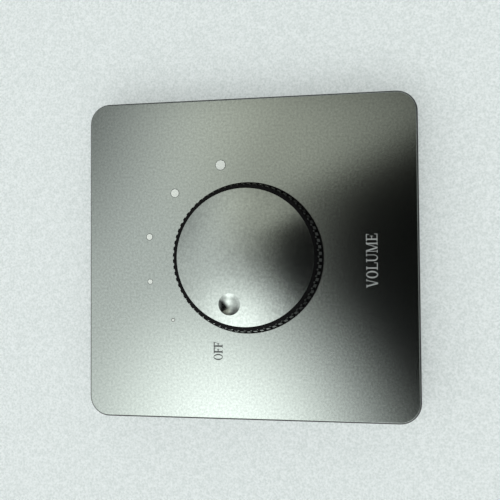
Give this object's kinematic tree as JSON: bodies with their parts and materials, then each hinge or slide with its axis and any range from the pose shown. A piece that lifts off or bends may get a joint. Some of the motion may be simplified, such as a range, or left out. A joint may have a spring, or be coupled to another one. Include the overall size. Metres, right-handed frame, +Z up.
{
  "type": "wall volume control",
  "caption": "Flush wall volume control with a square aluminium face plate, a fluted turning knob with a finger dimple, and a stepped switch, line transformer and terminal block behind it.",
  "frame": {"origin": "middle of the face plate on the wall surface, between the two wall box screws", "axes": "+Z up, front faces -Y, +X to the right seen from the front, +Y into the wall along the shaft"},
  "size_m": [0.086, 0.0574, 0.089],
  "materials": {
    "plate_aluminium": "bead-blasted satin anodised",
    "cap_aluminium": "satin anodised, bright dimple",
    "cover_plastic": "fine moulded texture",
    "yoke_plastic": "plain moulded",
    "knob_plastic": "satin moulded black",
    "adhesive": "transfer film",
    "spring_steel": "spring temper",
    "plated_steel": "zinc plated",
    "ball_steel": "polished",
    "shaft_metal": "turned",
    "die_cast": "as cast",
    "brass_nut": "turned",
    "switch_plastic": "moulded phenolic",
    "rotor_plastic": "moulded acetal",
    "contact_bronze": "stamped",
    "board": "solder mask",
    "lamination_steel": "varnished laminations",
    "bobbin_plastic": "moulded nylon",
    "copper": "enamelled wire",
    "tape": "polyester tape",
    "tinned_pin": "tinned",
    "terminal_plastic": "moulded"
  },
  "bodies": {
    "panel": {"front_plate": "plate_aluminium", "bonding_film": "adhesive", "cover_frame": "cover_plastic", "mounting_yoke": "yoke_plastic", "switch_bush": "die_cast", "lock_washer": "plated_steel", "panel_nut": "brass_nut", "switch_case": "switch_plastic", "switch_base": "switch_plastic", "fixed_contacts": "contact_bronze", "common_contact": "contact_bronze", "case_rivets": "plated_steel", "circuit_board": "board", "board_screws": "plated_steel", "transformer_core": "lamination_steel", "bobbin": "bobbin_plastic", "winding": "copper", "winding_tape": "tape", "bobbin_pins": "tinned_pin", "core_spacers": "bobbin_plastic", "core_bolts": "plated_steel", "core_nuts": "plated_steel", "terminal_block": "terminal_plastic", "terminal_cages": "plated_steel", "terminal_screws": "plated_steel", "terminal_pins": "tinned_pin"},
    "knob": {"knob_body": "knob_plastic", "knob_cap": "cap_aluminium", "knob_leaf": "spring_steel", "shaft": "shaft_metal", "shaft_clip": "spring_steel", "detent_rotor": "rotor_plastic", "detent_balls": "ball_steel", "detent_springs": "spring_steel", "wiper": "contact_bronze"}
  },
  "joints": [
    {"name": "volume_turn", "type": "hinge", "parent": "panel", "child": "knob", "pos_m": [0, 0, 0], "axis": [0, 1, 0], "range_deg": [0, 150]}
  ]
}
